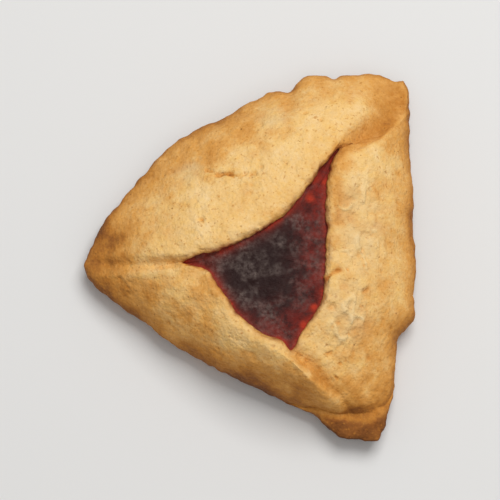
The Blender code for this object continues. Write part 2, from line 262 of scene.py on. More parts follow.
def way_out(normals, reach):
    """The way that the folds run: along the eased normals, and straight across near the seams."""
    return unit(direct * straight + eased(normals, reach * STEPS_PER_STATION) * (1 - straight))


start_way = way_out(opening_out, START_WAY_REACH)
end_way = way_out(outline_out, END_WAY_REACH)


def fold_plan(share):
    """Plan of the folds: a cubic Hermite curve from the opening's edge to the outline's edge.

    It leaves the opening along its eased normal and arrives at the outline along that one's, and
    runs straight near the seams. The outline's knobs push its outer part outwards, by the sixth
    power of the share, and the seams bend sideways as a parabola of the share.
    """
    t = share[..., None]
    reach = fold_width[:, None]
    return (
        (2 * t**3 - 3 * t**2 + 1) * opening
        + (t**3 - 2 * t**2 + t) * start_way * reach
        + (3 * t**2 - 2 * t**3) * outline
        + (t**3 - t**2) * end_way * reach
        + t**6 * knobs[:, None] * outline_out
        + 4 * t * (1 - t) * seam_bend
    )


def from_seam(seam, plan):
    """Distance in mm, in plan, from a seam's own line at the same share of the width."""
    tip = int(np.argmin(np.abs(stations_from(seam["at"], way))))
    return np.linalg.norm(plan - plan[:, tip : tip + 1], axis=-1) / MM


def seam_fade(seam, share):
    """1 along a seam, and 0 at the opening, at the outline and some stations away from it."""
    near = 1 - smooth_step(np.abs(stations_from(seam["at"], way)), *SEAM_FADES)
    return near * smooth_step(share, 0, seam["begins"]) * (1 - smooth_step(share, *SEAM_ENDS))


def seam_relief(share, plan):
    """Height that the seams add: a bell-shaped valley, and the rolled edge of the fold on top.

    Both are functions of the distance from the seam. The edge rises as an S, and fades out as a bell.
    """
    relief = np.zeros(share.shape)
    for seam in SEAMS:
        lateral = from_seam(seam, plan)
        width = seam["reach"] + (seam["corner_reach"] - seam["reach"]) * share
        valley = -seam["depth"] * np.exp(-((lateral / width) ** 2))
        roll = smooth_step(lateral, 0, seam["rounding"]) * np.exp(-((lateral / seam["edge_reach"]) ** 2))
        roll *= seam["edge"] * (stations_from(seam["at"], way) * seam["on_top"] > 0)
        relief += (valley + roll) * seam_fade(seam, share) * MM
    return relief


def hip_easing(share, plan):
    """Shares of the width by which the shoulder comes nearer along a seam.

    Two folds that meet at an angle would meet in a sharp hip. The shares fall off as a hyperbola of
    the distance from the seam, and start with the slope that takes the hip away.
    """
    easing = np.zeros(share.shape)
    for seam in SEAMS:
        cosine = np.where(stations_from(seam["at"], way) > 0, *seam["hip"]) * (1 - share)
        run = cosine * from_seam(seam, plan)
        easing += (np.sqrt(run**2 + HIP_ROUNDING**2) - run) * seam_fade(seam, share)
    return easing * MM / fold_width


def fold_top(share):
    """Upper surface of the folds: a superellipse over the fold's width, above the widest level.

    The height falls from the lip's to the shoulder's, then round the shoulder to the wall, and a
    quarter circle rounds the lip. Where there is a skirt, the superellipse ends at it, and the
    skirt is a quarter ellipse from there to the outline.
    """
    share = np.broadcast_to(share, (len(share), len(way)))
    plan = fold_plan(share)
    top_share = np.clip((share + hip_easing(share, plan)) / (1 - skirt_share), 0, 1)
    sheet = lip_height + (shoulder_height - lip_height) * top_share**SHEET_FALL
    rounding = (1 - top_share**plumpness) ** (1 / SHOULDER_ROUNDNESS)
    height = WIDEST_LEVEL + (sheet - WIDEST_LEVEL) * rounding + seam_relief(share, plan)
    over_skirt = np.clip((share - 1 + skirt_share) / skirt_share, 0, 1)
    rise = SKIRT_RISE * smooth_step(skirt, 0, SKIRT_FULL) * np.sqrt(1 - over_skirt**2)
    height = np.maximum(height, WIDEST_LEVEL + rise)
    inside = np.clip(1 - share * fold_width / lip_radius, 0, 1)
    height = height - lip_radius * (1 - np.sqrt(1 - inside**2))
    return np.concatenate((plan, height[..., None]), axis=-1)


def fold_rows():
    """Rows over the lip, even round its quarter circle, then over the fold to the widest level.

    The fold's rows lie evenly along the mean of all its profiles.
    """
    lip_share = lip_radius / fold_width
    over_lip = lip_share * (1 - np.cos(np.linspace(0, np.pi / 2, LIP_ROWS + 1)[:, None]))
    fine = np.linspace(0, np.pi / 2, PROFILE_STEPS)
    profiles = fold_top(lip_share + (1 - lip_share) * np.sin(fine[:, None]))
    run = np.linalg.norm(np.diff(profiles, axis=0), axis=-1).mean(axis=1).cumsum()
    turn = np.interp(np.linspace(0, run[-1], FOLD_ROWS + 1)[1:], (0, *run), fine)[:, None]
    return fold_top(np.concatenate((over_lip, lip_share + (1 - lip_share) * np.sin(turn))))


def wall_rows():
    """The wall from the widest level down to the underside, tucked in on a quarter ellipse."""
    turn = np.linspace(0, np.pi / 2, WALL_ROWS + 1)[1:, None, None]
    plan = outline + outline_out * (knobs[:, None] - UNDERCUT * (1 - np.cos(turn)))
    height = np.broadcast_to(WIDEST_LEVEL * (1 - np.sin(turn)), plan.shape[:2] + (1,))
    return np.concatenate((plan, height), axis=-1)


lip_edge = fold_top(np.zeros((1, 1)))[0, :, 2]


def pocket_wall(depth, inset):
    """The pocket's wall at shares of its depth: it leans out under the folds as a parabola."""
    lean = POCKET_UNDERCUT * (1 - (1 - depth) ** 2) - inset
    plan = opening + opening_out * lean[..., None]
    height = lip_edge + (UNDERSIDE_THICKNESS - lip_edge) * depth
    return np.concatenate((plan, np.broadcast_to(height, plan.shape[:2])[..., None]), axis=-1)


def closing_rings(ring, height, rows):
    """Rings from one ring straight towards the centre point at that height, without the point."""
    share = np.linspace(0, 1, rows + 1)[1:-1, None, None]
    return ring + (np.array((*CENTRE, height)) - ring) * share


def surface_normals(rows):
    """Unit normals of a grid of points, out of the dough, and the area that each point stands for."""
    across = np.gradient(rows, axis=0)
    around = (np.roll(rows, -1, axis=1) - np.roll(rows, 1, axis=1)) / 2
    normal = np.cross(across, around)
    area = np.linalg.norm(normal, axis=-1)
    return normal / (area[..., None] + 1e-15), area


shell = np.concatenate((fold_rows(), wall_rows()))
from_lip = np.linalg.norm(shell[..., :2] - opening, axis=-1)
lumpy = smooth_step(from_lip, 0, LUMPS_FULL) * smooth_step(shell[..., 2], 0, WIDEST_LEVEL)
lumps = layered_noise(shell, LUMPS) * lumpy
shell = shell + surface_normals(shell)[0] * lumps[..., None]

# The crumb and the marks of baking
# Baked biscuit dough is dry and sandy: fine grains, pinholes where steam came out, crinkles where
# the fold stretched, and a few short cracks. These are moved into the surface itself.

# Grain of the crumb: cell size, height and seed
CRUMB = ((3.4 * MM, 0.14 * MM, 11), (1.7 * MM, 0.12 * MM, 12), (0.9 * MM, 0.09 * MM, 13))

# How much deeper the skin lies than the solid's, so that the crumb stands no further out than it
# does, and how far from the lip and above the floor the crumb and the marks are full
SKIN_INSET = 0.09 * MM
CRUMB_FROM_LIP = 0.6 * MM
CRUMB_FROM_FLOOR = 1.5 * MM

# Pinholes, small to large, in mm: how many, the least and the greatest radius, and depth over radius.
# The seed of their draw, and the height above which they lie
PINHOLES = ((110, 0.28, 0.36, 0.7), (24, 0.36, 0.50, 0.6))
PINHOLE_SEED = 21
PINHOLES_ABOVE = 9 * MM

# Holes that show singly, in mm: place in plan, radius and depth
HOLES = (
    (-17.1, 4.4, 0.50, 0.75),
    (-16.8, 3.5, 0.40, 0.45),
    (-25.5, 14.3, 0.36, 0.50),
    (-10.2, 13.2, 0.35, 0.40),
    (-8.8, 12.9, 0.30, 0.35),
    (-7.0, 12.8, 0.40, 0.45),
    (-6.0, 13.6, 0.30, 0.35),
    (-4.9, 15.0, 0.30, 0.30),
    (-22.6, 15.6, 0.35, 0.30),
    (11.8, -5.6, 0.36, 0.45),
    (15.6, -4.6, 0.34, 0.50),
    (15.4, -9.4, 0.40, 0.55),
    (14.7, -12.6, 0.36, 0.50),
    (8.2, -21.9, 0.34, 0.50),
    (10.2, -23.9, 0.32, 0.50),
    (9.6, -26.4, 0.34, 0.45),
    (15.8, -22.0, 0.40, 0.35),
    (3.9, 26.5, 0.40, 0.35),
    (7.0, 25.0, 0.45, 0.40),
    (9.0, 22.6, 0.30, 0.30),
)

# Cracks, as points in plan in mm with width and depth
CRACKS = (
    (((-15.8, 15.2), (-14.5, 14.9)), 0.28, 0.55),
    (((-14.5, 14.9), (-13.7, 14.0)), 0.24, 0.35),
    (((-13.7, 14.0), (-12.0, 13.8), (-10.4, 13.7)), 0.40, 1.10),
    (((-10.4, 13.7), (-8.6, 13.6), (-7.4, 13.4)), 0.24, 0.50),
    (((-6.7, 13.2), (-5.9, 13.1)), 0.34, 0.55),
    (((7.0, -7.9), (8.4, -6.9), (10.0, -6.1)), 0.50, 1.10),
    (((8.6, -17.2), (8.9, -16.4), (9.8, -15.9)), 0.30, 0.50),
)

# Cracks and holes run crooked by this noise, one layer for each direction in plan, and cracks are
# broken by one about a mean. They show between these heights and above
CROOKED = (((1.5 * MM, 0.5 * MM, 31),), ((1.5 * MM, 0.5 * MM, 32),))
BREAKS_MEAN = 0.8
BREAKS = ((0.9 * MM, 0.35, 33),)
MARKS_BETWEEN = (8 * MM, 11 * MM)

# Wrinkles of the right fold, where the stretched skin tore: the middle and the reach of their
# patches in mm and the heights between which they start, then the cells that wrinkles and ridges
# follow in mm, with their height and seed, and the lumps between them
WRINKLE_PATCHES = (((14.5, 3.0), (4.8, 10.0)), ((11.5, -14.5), (4.5, 6.5)))
WRINKLES_BETWEEN = (9 * MM, 13 * MM)
WRINKLES = (((2.8, 4.4, 3.0), 0.55, 35), ((1.5, 2.4, 1.8), 0.26, 37))
RIDGES = (((2.8, 4.2, 3.0), 0.50, 55),)
WRINKLE_LUMPS = ((2.8 * MM, 0.26 * MM, 17), (1.3 * MM, 0.16 * MM, 18))

# Those lines: how narrow against the noise that they follow, and the noise that tears them
LINE_WIDTH = 0.13
TEARS_CELL = 2.2 * MM
TEARS_BETWEEN = (-0.1, 0.2)

# How much painted shade a pinhole and a wrinkle put into the dough's colour, against a crack of the same
# depth
PINHOLE_SHADE = 0.5
WRINKLE_SHADE = 0.35


def groove(points, path, width, depth):
    """Depth of a groove: a bell of the distance in plan from a path of straight stretches."""
    away = np.full(points.shape[:-1], np.inf)
    for start, end in zip(path[:-1], path[1:]):
        run = end - start
        along = np.clip(((points - start) @ run) / (run @ run), 0, 1)
        away = np.minimum(away, np.linalg.norm(points - start - along[..., None] * run, axis=-1))
    return depth * np.exp(-((away / width) ** 2))


def dimple(points, centre, radius, depth):
    """Depth of a round hole: a bell of the distance from its centre."""
    return depth * np.exp(-((np.linalg.norm(points - centre, axis=-1) / radius) ** 2))


def torn_lines(points, kinds):
    """Height of broken lines: bells round the zero lines of a soft noise, faded out by another one."""
    height = np.zeros(points.shape[:-1])
    for cell, most, seed in kinds:
        line = np.exp(-((soft_noise(points, np.array(cell) * MM, seed) / LINE_WIDTH) ** 2))
        torn = smooth_step(soft_noise(points, TEARS_CELL, seed + 1), *TEARS_BETWEEN)
        height = np.maximum(height, most * MM * line * torn)
    return height


def patch(points, middle, reach, power=1):
    """1 in the middle of an oval patch in plan, and falling as a bell: power 2 gives it a flat top."""
    away = (((points[..., :2] / MM - middle) / np.array(reach)) ** 2).sum(axis=-1)
    return np.exp(-(away**power))


normal, area = surface_normals(shell)
height_above_floor = shell[..., 2]

crooked = shell[..., :2] + np.stack([layered_noise(shell, layers) for layers in CROOKED], axis=-1)
breaks = BREAKS_MEAN + layered_noise(shell, BREAKS)
marks = np.zeros(shell.shape[:-1])
for path, width, depth in CRACKS:
    marks = np.maximum(marks, groove(crooked, np.array(path) * MM, width * MM, depth * MM) * breaks)
for x, y, radius, depth in HOLES:
    marks = np.maximum(marks, dimple(crooked, np.array((x, y)) * MM, radius * MM, depth * MM))
marks *= smooth_step(height_above_floor, *MARKS_BETWEEN)

stretched = sum(patch(shell, middle, reach, power=2) for middle, reach in WRINKLE_PATCHES)
stretched = np.clip(stretched, 0, 1) * smooth_step(height_above_floor, *WRINKLES_BETWEEN)
wrinkles = stretched * torn_lines(shell, WRINKLES)
ridges = stretched * torn_lines(shell, RIDGES)

draw = np.random.default_rng(PINHOLE_SEED)
pinholes = np.zeros(shell.shape[:-1])
upper_area = area * (height_above_floor > PINHOLES_ABOVE)
for count, least, greatest, depth_share in PINHOLES:
    for pick in draw.choice(area.size, count, p=(upper_area / upper_area.sum()).ravel()):
        radius = draw.uniform(least, greatest) * MM
        hole = dimple(shell, shell.reshape(-1, 3)[pick], radius, radius * depth_share)
        pinholes = np.maximum(pinholes, hole)

# Painted shade in the hollows: cracks and holes darken the colour by their depth in full, pinholes and
# wrinkles in part
painted_hollow_shade = np.maximum(marks, np.maximum(PINHOLE_SHADE * pinholes, WRINKLE_SHADE * wrinkles))
hollows = np.maximum(marks, np.maximum(pinholes, wrinkles))
crumb = layered_noise(shell, CRUMB) + ridges + stretched * layered_noise(shell, WRINKLE_LUMPS)
rough = smooth_step(from_lip, 0, CRUMB_FROM_LIP) * smooth_step(height_above_floor, 0, CRUMB_FROM_FLOOR)
shell = shell + normal * ((crumb - hollows - SKIN_INSET) * rough)[..., None]

# Browning, with painted shade
# 0 is the palest dough and 1 the darkest crust. The oven browns what is thin, steep or stands out:
# the shoulders, the seams, the lips, the corners and most of all the wall and the base. Low on the
# wall, on steep slopes, in the seams' valleys and in two patches, part of the darkening is painted
# shade.

# What every point has, and what is added: towards the outline, low on the wall and where it is steep
# (both browning and painted shade), at the lip, on the skirt, and for each millimetre of a wrinkle's
# ridge, which stays pale
BROWN_EVERYWHERE = 0.08
BROWN_OUTWARD = 0.14
BROWN_AND_SHADE_LOW = 0.36
BROWN_AND_SHADE_STEEP = 0.14
BROWN_LIP = 0.10
BROWN_SKIRT = 0.30
BROWN_RIDGES = -0.65

# The underside and the pocket's wall
BROWN_UNDERSIDE = 0.62
BROWN_POCKET = 0.2

# Between which shares of the width, heights and steepnesses those start and are full, how far in
# from the lip, and the width of skirt that has its own in full
OUTWARD_BETWEEN = (0.45, 0.72)
LOW_BETWEEN = (2 * MM, 12 * MM)
STEEP_BETWEEN = (0.12, 0.75)
LIP_REACH = 1.2 * MM
SKIRT_BROWNS = 3 * MM

# Noise that makes the outer band ragged, mottles the whole and the underside: cell, strength, seed
RAGGED = ((4.5 * MM, 0.20, 44), (1.6 * MM, 0.12, 45))
MOTTLES = ((8.0 * MM, 0.12, 41), (2.5 * MM, 0.08, 42))
UNDERSIDE_MOTTLES = ((7.0 * MM, 0.12, 52),)

# The seams browned, and darkened with painted shade, in their valleys: which, the reach in mm and the
# strength. They start within a reach of the lip, and fade out between two shares of the width
SEAM_BROWNING_AND_SHADE = ((SEAMS[0], 3.2, 0.36), (SEAMS[1], 1.4, 0.12), (SEAMS[2], 1.1, 0.22))
SEAM_BROWNING_AND_SHADE_FROM_LIP = 2 * MM
SEAM_BROWNING_AND_SHADE_END = (0.35, 0.9)

# The patches that browned more or stayed paler: the middle and the reach in mm, and how much. The
# first, at the left corner, is partly the painted shadow of pastries that lay beside it, and the
# fifth, along the front wall, partly painted shade. A noise about 1 makes them uneven
BROWN_AND_SHADE_PATCHES = (
    ((-36.0, 3.0), (7.0, 8.0), 0.26),
    ((-24.0, 15.0), (6.0, 4.0), 0.08),
    ((-12.0, 19.5), (5.0, 3.0), 0.06),
    ((-24.0, -9.0), (9.0, 3.0), 0.20),
    ((-3.0, -27.5), (12.0, 3.4), 0.21),
    ((14.0, -31.0), (6.0, 5.0), 0.16),
    ((13.0, -24.0), (6.5, 9.0), 0.09),
    ((6.0, -27.0), (4.0, 3.0), 0.07),
    ((14.0, -1.0), (7.0, 18.0), 0.11),
    ((11.7, -8.0), (1.5, 1.6), 0.20),
    ((9.9, 9.0), (1.9, 7.0), 0.20),
    ((21.5, -2.0), (3.5, 18.0), -0.06),
    ((-8.0, 27.0), (5.0, 3.5), 0.07),
    ((-18.0, -12.0), (6.0, 5.0), 0.10),
    ((-19.5, 13.2), (2.4, 1.6), -0.14),
    ((-2.5, 24.5), (2.8, 2.0), -0.14),
)
PATCHES_UNEVEN = ((2.0 * MM, 0.6, 46),)

# Where dusting flour stayed, on the upper fold besides the stretched one: the middle and the reach
# in mm, the mean strength, and the noise about it
DUST_PATCHES = (((-19.2, 15.1), (3.2, 2.2)), ((-2.4, 26.0), (3.2, 2.4)))
DUST_MEAN = 0.75
DUST_UNEVEN = ((1.8 * MM, 0.5, 47),)

# The jam's stain on the lips: its reach, its mean strength, and the noise about it
STAIN_REACH = 0.52 * MM
STAIN_MEAN = 0.65
STAIN_UNEVEN = ((1.1 * MM, 0.9, 43),)

height_above_floor = shell[..., 2]
width_share = np.clip(1 - np.linalg.norm(shell[..., :2] - outline, axis=-1) / fold_width, 0, 1)
browned_outward = smooth_step(width_share + layered_noise(shell, RAGGED), *OUTWARD_BETWEEN)
# Low on the wall and on steep slopes: browning, and painted shade
browned_and_shaded_low = 1 - smooth_step(height_above_floor, *LOW_BETWEEN)
browned_and_shaded_steep = smooth_step(1 - np.clip(normal[..., 2], 0, 1), *STEEP_BETWEEN)

# The skirt browns from its inner edge outwards, and is fully brown a fifth of its own width and a
# twentieth of the whole fold's further out
browned_skirt = smooth_step(width_share, 1 - skirt_share, 1.05 - 0.8 * skirt_share)
browned_skirt *= smooth_step(skirt, 0, SKIRT_BROWNS)

browning_and_shade = BROWN_EVERYWHERE + layered_noise(shell, MOTTLES)
browning_and_shade += BROWN_OUTWARD * browned_outward
browning_and_shade += BROWN_AND_SHADE_LOW * browned_and_shaded_low
browning_and_shade += BROWN_AND_SHADE_STEEP * browned_and_shaded_steep
browning_and_shade += BROWN_LIP * np.exp(-from_lip / LIP_REACH)
browning_and_shade += BROWN_SKIRT * browned_skirt
browning_and_shade += BROWN_RIDGES * ridges / MM
uneven = 1 + layered_noise(shell, PATCHES_UNEVEN)
for middle, reach, strength in BROWN_AND_SHADE_PATCHES:
    browning_and_shade += strength * patch(shell, middle, reach) * uneven
# Along the seams' valleys: browning, and painted shade in the creases
along_seams = smooth_step(from_lip, 0, SEAM_BROWNING_AND_SHADE_FROM_LIP)
along_seams *= 1 - smooth_step(width_share, *SEAM_BROWNING_AND_SHADE_END)
for seam, reach, strength in SEAM_BROWNING_AND_SHADE:
    browning_and_shade += strength * np.exp(-((from_seam(seam, shell[..., :2]) / reach) ** 2)) * along_seams

dusty = stretched + sum(patch(shell, middle, reach, power=2) for middle, reach in DUST_PATCHES)
dusty *= DUST_MEAN + layered_noise(shell, DUST_UNEVEN)
stain = np.exp(-from_lip / STAIN_REACH) * (STAIN_MEAN + layered_noise(shell, STAIN_UNEVEN))


def put_attribute(mesh, name, values):
    """Stores one number for each point of the mesh."""
    mesh.attributes.new(name, "FLOAT", "POINT").data.foreach_set("value", values.astype(np.float32).ravel())


def closed_mesh(name, rings, first_centre, last_centre):
    """A closed mesh from rings of points: quads between rings, and a fan to a centre at each end.

    The rings run counter-clockwise seen from the last centre, so the faces point outwards.
    """
    rows, count = rings.shape[:2]
    points = np.concatenate((rings.reshape(-1, 3), [first_centre, last_centre]))
    here = np.arange(count)
    onward = np.roll(here, -1)
    row = np.arange(rows - 1)[:, None] * count
    quads = np.stack((row + here, row + onward, row + onward + count, row + here + count), axis=-1)
    last_row = (rows - 1) * count
    fans = np.concatenate((
        np.stack((np.full(count, rows * count), onward, here), axis=-1),
        np.stack((np.full(count, rows * count + 1), last_row + here, last_row + onward), axis=-1),
    ))
    mesh = bpy.data.meshes.new(name)
    mesh.from_pydata(points.tolist(), [], quads.reshape(-1, 4).tolist() + fans.tolist())
    mesh.shade_smooth()
    return mesh


def linear(hex_code):
    """Linear red, green, blue and alpha of an sRGB hex colour."""
    channels = np.array([int(hex_code[i : i + 2], 16) / 255 for i in (1, 3, 5)])
    channels = np.where(channels <= 0.04045, channels / 12.92, ((channels + 0.055) / 1.055) ** 2.4)
    return (*channels, 1)


def add_node(tree, kind, inputs, **settings):
    """Adds a node of that kind with its settings, and links or sets its inputs."""
    node = tree.nodes.new(kind)
    for name, value in settings.items():
        setattr(node, name, value)
    for socket, value in inputs.items():
        if isinstance(value, bpy.types.NodeSocket):
            tree.links.new(value, node.inputs[socket])
        else:
            node.inputs[socket].default_value = value
    return node


# Grains and pores of the crust, as wide as on real biscuits: the crumb's grains, the sugar's, the
# scorched ones, the pits between them, and the cells of the mottling, the speckles and the butter
CRUMB_GRAIN = 1.1 * MM
CRUMB_GRAIN_HEIGHT = 0.36 * MM
SUGAR_GRAIN = 0.55 * MM
SUGAR_GRAIN_HEIGHT = 0.15 * MM
SCORCHED_GRAIN = 0.7 * MM
PIT_CELL = 1.7 * MM
PIT_DEPTH = 0.14 * MM
MOTTLE_CELL = 3.0 * MM
SPECKLE_CELL = 0.8 * MM
BUTTER_CELL = 2.4 * MM


def baked_dough():
    """The material of baked butter dough: a matte, sandy crust.

    The sugar browns unevenly, so the pale gold is mottled, and single scorched grains and pale
    flecks of flour lie in it. The attributes say how brown each point is, with painted shade low on
    the walls, on steep slopes and in the seams, how much painted shade its hollows get, and how dusty
    and stained it is. The pits of the crust get painted shade as well.
    """
    material = bpy.data.materials.new("baked butter dough")
    material.use_nodes = True
    tree = material.node_tree
    shader = tree.nodes["Principled BSDF"]
    place = add_node(tree, "ShaderNodeTexCoord", {}).outputs["Object"]
    brown_and_shade_value = add_node(tree, "ShaderNodeAttribute", {}, attribute_name="browning_and_shade").outputs["Fac"]
    hollow_shade_value = add_node(tree, "ShaderNodeAttribute", {}, attribute_name="hollow_shade").outputs["Fac"]
    stain_value = add_node(tree, "ShaderNodeAttribute", {}, attribute_name="stain").outputs["Fac"]
    dusty_value = add_node(tree, "ShaderNodeAttribute", {}, attribute_name="dusty").outputs["Fac"]

    # How brown: the attribute, which holds browning and painted shade, mottled and speckled, and darker by
    # painted shade in the hollows
    mottle = add_node(tree, "ShaderNodeTexNoise", {
        "Vector": place, "Scale": 1 / MOTTLE_CELL, "Detail": 7.0, "Roughness": 0.72,
    }).outputs["Fac"]
    mottled = add_node(tree, "ShaderNodeMath", {
        0: mottle, 1: 0.46, 2: brown_and_shade_value,
    }, operation="MULTIPLY_ADD").outputs[0]
    speckle = add_node(tree, "ShaderNodeTexNoise", {
        "Vector": place, "Scale": 1 / SPECKLE_CELL, "Detail": 3.0, "Roughness": 0.7,
    }).outputs["Fac"]
    speckled = add_node(tree, "ShaderNodeMath", {
        0: speckle, 1: 0.30, 2: mottled,
    }, operation="MULTIPLY_ADD").outputs[0]
    shaded_hollows = add_node(tree, "ShaderNodeMath", {
        0: hollow_shade_value, 1: 0.55, 2: speckled,
    }, operation="MULTIPLY_ADD").outputs[0]
    evened = add_node(tree, "ShaderNodeMath", {0: shaded_hollows, 1: 0.31}, operation="SUBTRACT").outputs[0]
    crust = add_node(tree, "ShaderNodeValToRGB", {"Fac": evened})
    crust.color_ramp.elements[0].color = linear("#efcd96")
    crust.color_ramp.elements[1].color = linear("#6b3d18")
    for stop, shade in ((0.20, "#e7be7f"), (0.40, "#d9a058"), (0.60, "#be8038"), (0.80, "#925a26")):
        crust.color_ramp.elements.new(stop).color = linear(shade)

    # Scorched grains, the warmer patches of butter, and painted shade in pits in the cells that are large
    # enough
    speck_noise = add_node(tree, "ShaderNodeTexNoise", {
        "Vector": place, "Scale": 1 / SCORCHED_GRAIN, "Detail": 1.0, "Roughness": 0.5,
    }).outputs["Fac"]
    specks = add_node(tree, "ShaderNodeMapRange", {
        "Value": speck_noise, "From Min": 0.62, "From Max": 0.76, "To Min": 0.0, "To Max": 0.6,
    }).outputs[0]
    specked = add_node(tree, "ShaderNodeMix", {
        0: specks, 6: crust.outputs["Color"], 7: linear("#b87830"),
    }, data_type="RGBA").outputs[2]
    hue_noise = add_node(tree, "ShaderNodeTexNoise", {
        "Vector": place, "Scale": 1 / BUTTER_CELL, "Detail": 6.0, "Roughness": 0.85,
    }).outputs["Fac"]
    butter = add_node(tree, "ShaderNodeMapRange", {
        "Value": hue_noise, "From Min": 0.36, "From Max": 0.64, "To Min": 0.0, "To Max": 1.0,
    }).outputs[0]
    warmed = add_node(tree, "ShaderNodeMix", {
        0: butter, 6: specked, 7: (1.0, 0.92, 0.67, 1),
    }, data_type="RGBA", blend_type="MULTIPLY").outputs[2]
    pit_cells = add_node(tree, "ShaderNodeTexVoronoi", {"Vector": place, "Scale": 1 / PIT_CELL})
    pit_mask = add_node(tree, "ShaderNodeSeparateColor", {0: pit_cells.outputs["Color"]}).outputs[0]
    pit_size = add_node(tree, "ShaderNodeMapRange", {
        "Value": pit_mask, "From Min": 0.45, "From Max": 1.0, "To Min": 0.0, "To Max": 0.20,
    }).outputs[0]
    pits = add_node(tree, "ShaderNodeMapRange", {
        "Value": pit_cells.outputs["Distance"], "From Min": pit_size, "From Max": 0.0,
        "To Min": 0.0, "To Max": 1.0,
    }, interpolation_type="SMOOTHSTEP").outputs[0]
    pit_shaded = add_node(tree, "ShaderNodeMix", {
        0: pits, 6: warmed, 7: linear("#a86e30"),
    }, data_type="RGBA").outputs[2]

    # Flour lies on top, and the jam's stain over all
    dust_share = add_node(tree, "ShaderNodeMath", {
        0: dusty_value, 1: 0.34,
    }, operation="MULTIPLY").outputs[0]
    dusted = add_node(tree, "ShaderNodeMix", {
        0: dust_share, 6: pit_shaded, 7: linear("#cfb78e"),
    }, data_type="RGBA").outputs[2]
    stained = add_node(tree, "ShaderNodeMix", {
        0: stain_value, 6: dusted, 7: linear("#7c2c18"),
    }, data_type="RGBA").outputs[2]
    tree.links.new(stained, shader.inputs["Base Color"])

    # The relief: crumb, sugar and the same pits
    grain = add_node(tree, "ShaderNodeTexNoise", {
        "Vector": place, "Scale": 1 / CRUMB_GRAIN, "Detail": 4.0, "Roughness": 0.6,
    }).outputs["Fac"]
    sand = add_node(tree, "ShaderNodeTexVoronoi", {
        "Vector": place, "Scale": 1 / SUGAR_GRAIN, "Smoothness": 0.6,
    }, feature="SMOOTH_F1").outputs["Distance"]
    grains = add_node(tree, "ShaderNodeBump", {
        "Height": grain, "Strength": 0.8, "Distance": CRUMB_GRAIN_HEIGHT,
    })
    bump = add_node(tree, "ShaderNodeBump", {
        "Height": sand, "Strength": 0.8, "Distance": SUGAR_GRAIN_HEIGHT, "Normal": grains.outputs["Normal"],
    }, invert=True)
    pitting = add_node(tree, "ShaderNodeBump", {
        "Height": pits, "Strength": 0.8, "Distance": PIT_DEPTH, "Normal": bump.outputs["Normal"],
    }, invert=True)
    tree.links.new(pitting.outputs["Normal"], shader.inputs["Normal"])
    shader.inputs["Roughness"].default_value = 0.82
    shader.inputs["Specular IOR Level"].default_value = 0.25

    return material


# The frame's pastry lies somewhere else than the numbers above, so everything moves over with it
dough_low, dough_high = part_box("pastry")
dough_middle = (np.array(dough_low) + np.array(dough_high)) / 2
plan = shell[..., :2].reshape(-1, 2)
to_frame = np.zeros(3)
to_frame[:2] = dough_middle[:2] - (plan.min(axis=0) + plan.max(axis=0)) / 2

# Air trapped under the dough left shallow hollows in its underside
UNDERSIDE_HOLLOWS = ((6 * MM, 0.25 * MM, 51),)

outer = shell[::-1]
underside = closing_rings(outer[0], 0, UNDERSIDE_ROWS)[::-1]
underside[..., 2] += np.clip(layered_noise(underside, UNDERSIDE_HOLLOWS), 0, None)
pocket = pocket_wall(np.linspace(0, 1, POCKET_ROWS + 1)[1:, None], 0)
pocket_floor = closing_rings(pocket[-1], UNDERSIDE_THICKNESS, FLOOR_ROWS)
rings = np.concatenate((underside, outer, pocket, pocket_floor))
under_middle = np.array((*CENTRE, 0))
floor_middle = np.array((*CENTRE, UNDERSIDE_THICKNESS))
dough_mesh = closed_mesh(
    "folded_dough", rings + to_frame, under_middle + to_frame, floor_middle + to_frame
)


def put_dough_attribute(name, under, upper, inner, middles):
    """Stores a number for each point of the dough, from the underside up over the folds and inwards.

    under and inner are one number each, or an array for their rings. middles is the two centres' own.
    """
    inner_rings = (len(pocket) + len(pocket_floor), len(way))
    put_attribute(dough_mesh, name, np.concatenate((
        np.broadcast_to(under, underside.shape[:2]).ravel(),
        upper[::-1].ravel(),
        np.broadcast_to(inner, inner_rings).ravel(),
        middles,
    )))


under_browning = BROWN_UNDERSIDE + layered_noise(underside, UNDERSIDE_MOTTLES)
put_dough_attribute("browning_and_shade", under_browning, browning_and_shade, BROWN_POCKET, (BROWN_UNDERSIDE, BROWN_POCKET))
put_dough_attribute("hollow_shade", 0, painted_hollow_shade / MM, 0, (0, 0))
put_dough_attribute("dusty", 0, dusty, 0, (0, 0))
put_dough_attribute("stain", 0, stain, 1, (0, 1))
dough_mesh.materials.append(baked_dough())
dough = bpy.data.objects.new("folded_dough", dough_mesh)
bpy.context.scene.collection.objects.link(dough)

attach(dough, "root")
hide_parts("pastry")


# The raspberry jam
# Cooked jam that fills the pocket to just under the lips. It baked down to a lumpy skin, nearly
# black with a dusty bloom that is partly painted sheen, and where it thins out against the dough it
# glows red. A few spots have painted red glints.

# How far the jam stays below the lips, the distance over which their heights blend, how far it
# reaches into the dough, and how far at least its rim stays below the lip's own edge
JAM_BELOW_LIP = 0.35 * MM
JAM_BLEND = 2.0 * MM
JAM_INTO_DOUGH = 0.12 * MM
JAM_RIM_RISE = 0.12 * MM
JAM_WALL_ROWS, JAM_BASE_ROWS, JAM_TOP_ROWS = 6, 3, 46

# The share of the way in at which its level is that of the middle, and every how many steps round
# the opening's edge is read for that level
JAM_LEVEL_SHARE = 0.3
JAM_SAMPLE_STEP = 4

# Lumps of its skin: cell size, height and seed, and how far from the edge they are full
JAM_LUMPS = ((5.0 * MM, 0.40 * MM, 8), (2.3 * MM, 0.24 * MM, 61), (1.1 * MM, 0.10 * MM, 62))
JAM_LUMPS_FULL = 2 * MM

